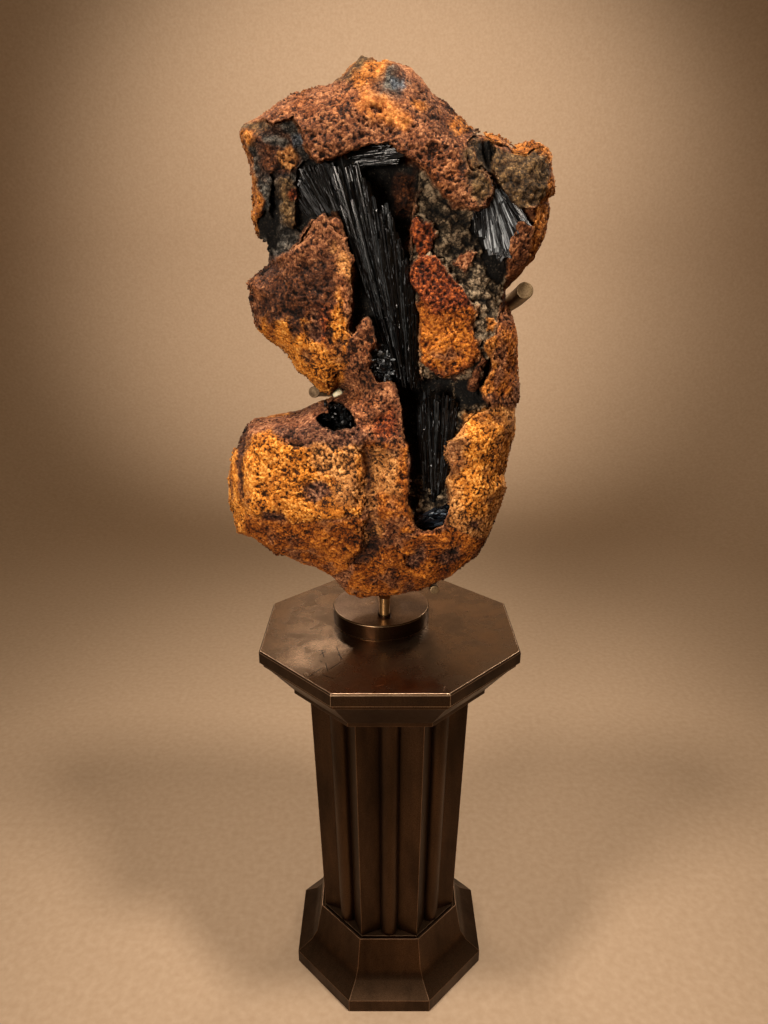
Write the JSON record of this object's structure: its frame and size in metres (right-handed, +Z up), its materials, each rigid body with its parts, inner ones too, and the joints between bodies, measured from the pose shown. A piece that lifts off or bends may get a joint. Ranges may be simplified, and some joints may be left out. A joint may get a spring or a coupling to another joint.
{
  "type": "vivianite specimen on a pedestal",
  "caption": "Tall limonite-crusted mineral specimen with sprays of dark bladed crystals, held on a round stand on an octagonal bronze pedestal.",
  "frame": {"origin": "middle of the pedestal's underside, on the floor", "axes": "+Z up, +X to the specimen's right as seen from the front, +Y to the back"},
  "size_m": [0.5831, 0.5, 1.826],
  "materials": {
    "pedestal_bronze": "satin",
    "top_bronze": "polished",
    "stand_bronze": "satin",
    "rod_bronze": "satin",
    "pad": "matte",
    "limonite": "matte",
    "black_crystal": "gloss",
    "grey_crystal": "gloss"
  },
  "bodies": {
    "root": {"pedestal_base": "pedestal_bronze", "pedestal_shaft": "pedestal_bronze", "pedestal_cap": "pedestal_bronze", "pedestal_top": "top_bronze", "stand_disc": "stand_bronze", "stand_collar": "stand_bronze", "stand_post": "rod_bronze", "stand_cradle": "rod_bronze", "stand_spine": "rod_bronze", "left_arm": "rod_bronze", "right_arm": "rod_bronze", "lower_arm": "rod_bronze", "left_pad": "pad", "rock": "limonite", "fan_crystals": "black_crystal", "plate_crystals": "black_crystal", "shelf_crystals": "black_crystal", "right_crystals": "grey_crystal", "lower_crystals": "black_crystal", "floor_crystals": "black_crystal", "pocket_crystals": "black_crystal", "glint_crystals": "grey_crystal"}
  },
  "joints": []
}
